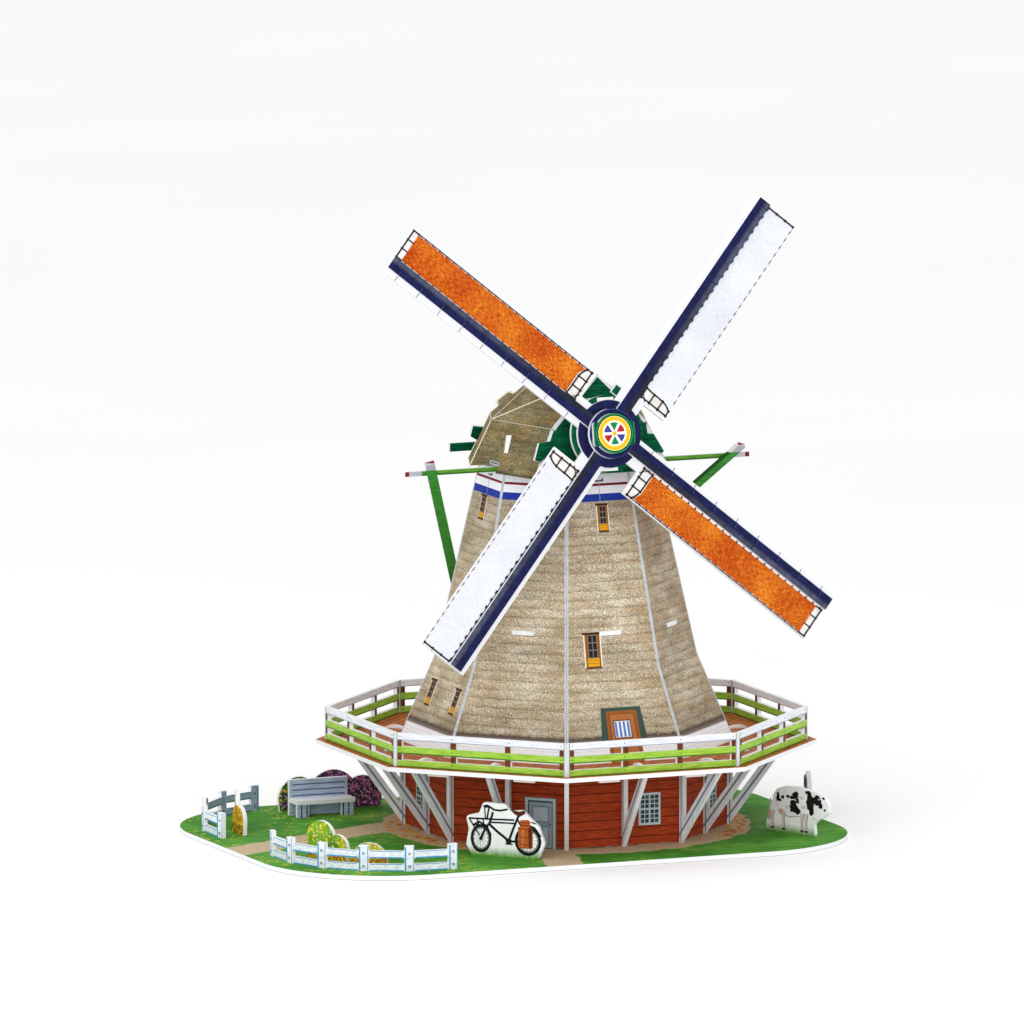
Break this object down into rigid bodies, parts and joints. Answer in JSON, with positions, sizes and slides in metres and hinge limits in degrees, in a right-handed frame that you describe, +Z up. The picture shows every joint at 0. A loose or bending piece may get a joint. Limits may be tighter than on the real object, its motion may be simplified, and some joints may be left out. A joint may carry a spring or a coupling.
{
  "type": "windmill puzzle model",
  "caption": "Foam-board puzzle of a smock windmill on a grass base, with turning sails, a turning cap, a gallery and small garden standees.",
  "frame": {"origin": "on the tower's vertical axis, at the underside of the base board", "axes": "+X to the right seen from the mill's front, -Y towards the front, +Z up"},
  "size_m": [0.282, 0.213, 0.2918],
  "materials": {
    "grass_board": "printed matte",
    "deck_board": "printed matte",
    "inner_board": "plain white",
    "red_board": "printed matte",
    "grey_board": "printed matte",
    "rail_board": "printed matte",
    "thatch_board": "printed matte",
    "roof_board": "printed matte",
    "green_board": "printed matte",
    "beam_board": "printed matte",
    "navy_board": "printed matte",
    "sail_white": "printed matte",
    "sail_orange": "printed matte",
    "fence_board": "printed matte",
    "bench_board": "printed matte",
    "bush_board": "printed matte",
    "animal_board": "printed matte",
    "bicycle_board": "printed matte",
    "plastic": "matte"
  },
  "bodies": {
    "base": {"base_board": "grass_board", "gallery_deck": "deck_board", "mid_floor": "inner_board", "tower_top_plate": "inner_board", "house_wall_1": "red_board", "house_wall_2": "red_board", "house_wall_3": "red_board", "house_wall_4": "red_board", "brackets_1": "grey_board", "brackets_2": "grey_board", "brackets_3": "grey_board", "brackets_4": "grey_board", "railing_1": "rail_board", "railing_2": "rail_board", "railing_3": "rail_board", "railing_4": "rail_board", "tower_wall_1": "thatch_board", "tower_wall_2": "thatch_board", "tower_wall_3": "thatch_board", "tower_wall_4": "thatch_board", "tower_wall_5": "thatch_board", "tower_wall_6": "thatch_board", "tower_wall_7": "thatch_board", "tower_wall_8": "thatch_board", "fence_front": "fence_board", "fence_side": "fence_board", "bench": "bench_board", "bush_left": "bush_board", "bush_rear": "bush_board", "bush_front": "bush_board", "bicycle": "bicycle_board", "cow_1": "animal_board", "cow_2": "animal_board"},
    "cap": {"cap_floor": "inner_board", "cap_pin": "plastic", "gable_front": "green_board", "gable_rear": "green_board", "roof_left": "roof_board", "roof_right": "roof_board", "roof_rear": "roof_board", "collar_ring": "green_board", "collar_spacers": "green_board", "shaft_bearing": "inner_board", "cross_beam": "beam_board", "rear_beam": "green_board", "brace_left": "beam_board", "brace_right": "beam_board", "tail_pole": "beam_board"},
    "sails": {"windshaft": "plastic", "hub_back": "navy_board", "hub_front": "navy_board", "hub_boss": "green_board", "stock_1": "navy_board", "stock_2": "navy_board", "stock_3": "navy_board", "stock_4": "navy_board", "sail_1": "sail_white", "sail_2": "sail_orange", "sail_3": "sail_white", "sail_4": "sail_orange"}
  },
  "joints": [
    {"name": "cap_turn", "type": "hinge", "parent": "base", "child": "cap", "pos_m": [0, 0, 0.1655], "axis": [0, 0, 1], "continuous": true},
    {"name": "sails_spin", "type": "hinge", "parent": "cap", "child": "sails", "pos_m": [0, -0.0527, 0.1889], "axis": [0, -0.9848, 0.1736], "continuous": true}
  ]
}
